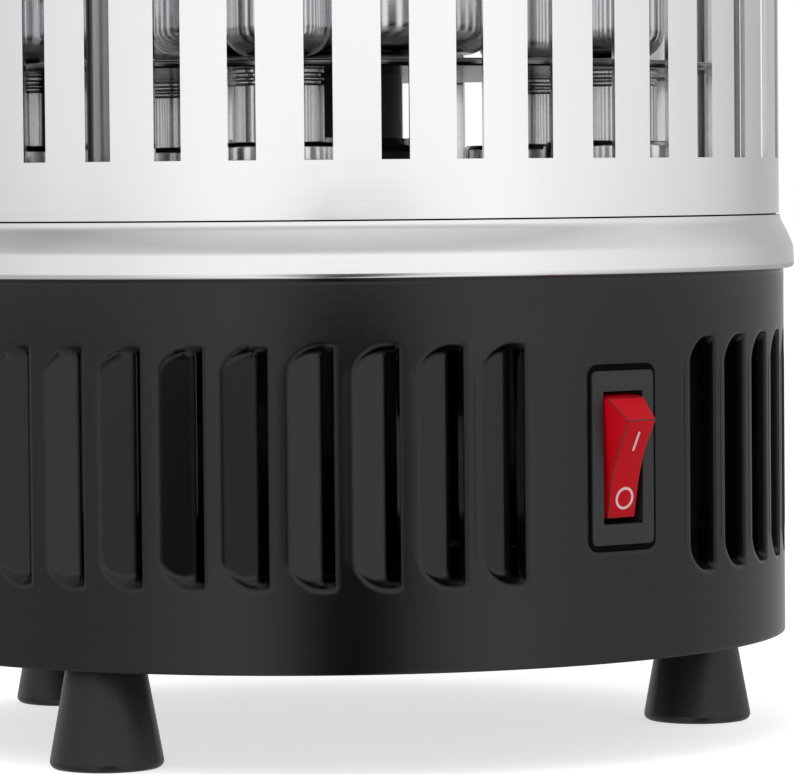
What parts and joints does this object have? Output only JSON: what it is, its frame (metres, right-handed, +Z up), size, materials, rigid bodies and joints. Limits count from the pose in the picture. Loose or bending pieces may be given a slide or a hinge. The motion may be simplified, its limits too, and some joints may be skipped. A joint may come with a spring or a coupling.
{
  "type": "electric skewer grill",
  "caption": "Upright electric skewer grill: skewers turned by a gear train round a quartz heater, in a slotted lift-off casing on a louvred drum base with feet and a rocker switch.",
  "frame": {"origin": "on the table plane under the axis of the round base and casing, which is the centre of the bounding box's bottom", "axes": "+Z up along the axis of the casing; -Y the side seen in front, with the rocker switch 37 degrees from it towards +X"},
  "size_m": [0.18, 0.18, 0.3878],
  "materials": {
    "black_enamel": "satin black enamel",
    "polished_steel": "polished stainless sheet",
    "satin_steel": "satin turned ring",
    "bright_sheet": "bright pressed sheet",
    "zinc_steel": "zinc plated steel",
    "foot_plastic": "black moulded plastic",
    "dark_deck": "dark heat-proof paint",
    "hub_steel": "turned steel",
    "gear_nylon": "natural nylon",
    "bronze": "sintered bronze",
    "ceramic": "unglazed white ceramic",
    "quartz": "clear quartz tube",
    "coil_wire": "oxidised resistance wire",
    "knob_plastic": "black heat-proof plastic",
    "switch_black": "black switch body",
    "rocker_red": "red moulded rocker",
    "blade_brass": "brass blades",
    "rubber_black": "black rubber"
  },
  "bodies": {
    "base": {"base_drum": "black_enamel", "bottom_plate": "dark_deck", "foot_1": "foot_plastic", "foot_2": "foot_plastic", "foot_3": "foot_plastic", "foot_screws": "zinc_steel", "tie_pillars": "zinc_steel", "pillar_screws": "zinc_steel", "inlet_grommet": "rubber_black", "terminal_block": "ceramic", "gear_plate": "zinc_steel", "gear_motor": "zinc_steel", "motor_screws": "zinc_steel", "spindle_bushes": "bronze", "spindle_hubs": "hub_steel", "heater_column": "zinc_steel", "collar": "satin_steel", "deck": "dark_deck", "cup_tray": "bright_sheet", "heater_pedestal": "dark_deck", "pedestal_screws": "zinc_steel", "heater_dish": "polished_steel", "lower_cap": "ceramic", "upper_cap": "ceramic", "quartz_tube": "quartz", "ceramic_core": "ceramic", "heating_coil": "coil_wire", "holder_posts": "bright_sheet", "skewer_holder": "bright_sheet", "holder_nuts": "zinc_steel", "switch_housing": "switch_black", "switch_terminals": "blade_brass"},
    "rocker": {"rocker": "rocker_red"},
    "middle_gear": {"sun_gear": "gear_nylon"},
    "pinion": {"motor_pinion": "gear_nylon"},
    "spindle_1": {"planet_gear_1": "gear_nylon", "spindle_1": "zinc_steel"},
    "spindle_2": {"planet_gear_2": "gear_nylon", "spindle_2": "zinc_steel"},
    "spindle_3": {"planet_gear_3": "gear_nylon", "spindle_3": "zinc_steel"},
    "spindle_4": {"planet_gear_4": "gear_nylon", "spindle_4": "zinc_steel"},
    "spindle_5": {"planet_gear_5": "gear_nylon", "spindle_5": "zinc_steel"},
    "cup_1": {"cup_1": "polished_steel"},
    "cup_2": {"cup_2": "polished_steel"},
    "cup_3": {"cup_3": "polished_steel"},
    "cup_4": {"cup_4": "polished_steel"},
    "cup_5": {"cup_5": "polished_steel"},
    "skewer_1": {"skewer_1": "polished_steel"},
    "skewer_2": {"skewer_2": "polished_steel"},
    "skewer_3": {"skewer_3": "polished_steel"},
    "skewer_4": {"skewer_4": "polished_steel"},
    "skewer_5": {"skewer_5": "polished_steel"},
    "casing": {"casing": "polished_steel", "top_rim": "satin_steel", "top_cover": "black_enamel", "knob": "knob_plastic", "knob_screw": "zinc_steel"}
  },
  "joints": [
    {"name": "rocker_tip", "type": "hinge", "parent": "base", "child": "rocker", "pos_m": [0.05105, -0.06799, 0.0555], "axis": [0.7997, 0.6004, 0], "range_deg": [-32, 0]},
    {"name": "middle_gear_spin", "type": "hinge", "parent": "base", "child": "middle_gear", "pos_m": [0, 0, 0.086], "axis": [0, 0, 1], "continuous": true},
    {"name": "pinion_spin", "type": "hinge", "parent": "base", "child": "pinion", "pos_m": [-0.04603, 0.02196, 0.086], "axis": [0, 0, 1], "continuous": true},
    {"name": "spindle_1_spin", "type": "hinge", "parent": "base", "child": "spindle_1", "pos_m": [-0.00783, -0.05949, 0.086], "axis": [0, 0, 1], "continuous": true},
    {"name": "spindle_2_spin", "type": "hinge", "parent": "base", "child": "spindle_2", "pos_m": [0.05416, -0.02583, 0.086], "axis": [0, 0, 1], "continuous": true},
    {"name": "spindle_3_spin", "type": "hinge", "parent": "base", "child": "spindle_3", "pos_m": [0.0413, 0.04352, 0.086], "axis": [0, 0, 1], "continuous": true},
    {"name": "spindle_4_spin", "type": "hinge", "parent": "base", "child": "spindle_4", "pos_m": [-0.02863, 0.05273, 0.086], "axis": [0, 0, 1], "continuous": true},
    {"name": "spindle_5_spin", "type": "hinge", "parent": "base", "child": "spindle_5", "pos_m": [-0.05899, -0.01093, 0.086], "axis": [0, 0, 1], "continuous": true},
    {"name": "cup_1_lift", "type": "slide", "parent": "spindle_1", "child": "cup_1", "axis": [0, 0, 1], "range_m": [0, 0.006]},
    {"name": "cup_2_lift", "type": "slide", "parent": "spindle_2", "child": "cup_2", "axis": [0, 0, 1], "range_m": [0, 0.006]},
    {"name": "cup_3_lift", "type": "slide", "parent": "spindle_3", "child": "cup_3", "axis": [0, 0, 1], "range_m": [0, 0.006]},
    {"name": "cup_4_lift", "type": "slide", "parent": "spindle_4", "child": "cup_4", "axis": [0, 0, 1], "range_m": [0, 0.006]},
    {"name": "cup_5_lift", "type": "slide", "parent": "spindle_5", "child": "cup_5", "axis": [0, 0, 1], "range_m": [0, 0.006]},
    {"name": "skewer_1_lift", "type": "slide", "parent": "cup_1", "child": "skewer_1", "axis": [0, 0, 1], "range_m": [0, 0.01]},
    {"name": "skewer_2_lift", "type": "slide", "parent": "cup_2", "child": "skewer_2", "axis": [0, 0, 1], "range_m": [0, 0.01]},
    {"name": "skewer_3_lift", "type": "slide", "parent": "cup_3", "child": "skewer_3", "axis": [0, 0, 1], "range_m": [0, 0.01]},
    {"name": "skewer_4_lift", "type": "slide", "parent": "cup_4", "child": "skewer_4", "axis": [0, 0, 1], "range_m": [0, 0.01]},
    {"name": "skewer_5_lift", "type": "slide", "parent": "cup_5", "child": "skewer_5", "axis": [0, 0, 1], "range_m": [0, 0.01]},
    {"name": "casing_lift", "type": "slide", "parent": "base", "child": "casing", "axis": [0, 0, 1], "range_m": [0, 0.25]}
  ],
  "couplings": [
    {"joint": "pinion_spin", "follows": "middle_gear_spin", "ratio": -3.8571},
    {"joint": "spindle_1_spin", "follows": "middle_gear_spin", "ratio": -2.0769},
    {"joint": "spindle_2_spin", "follows": "middle_gear_spin", "ratio": -2.0769},
    {"joint": "spindle_3_spin", "follows": "middle_gear_spin", "ratio": -2.0769},
    {"joint": "spindle_4_spin", "follows": "middle_gear_spin", "ratio": -2.0769},
    {"joint": "spindle_5_spin", "follows": "middle_gear_spin", "ratio": -2.0769}
  ]
}
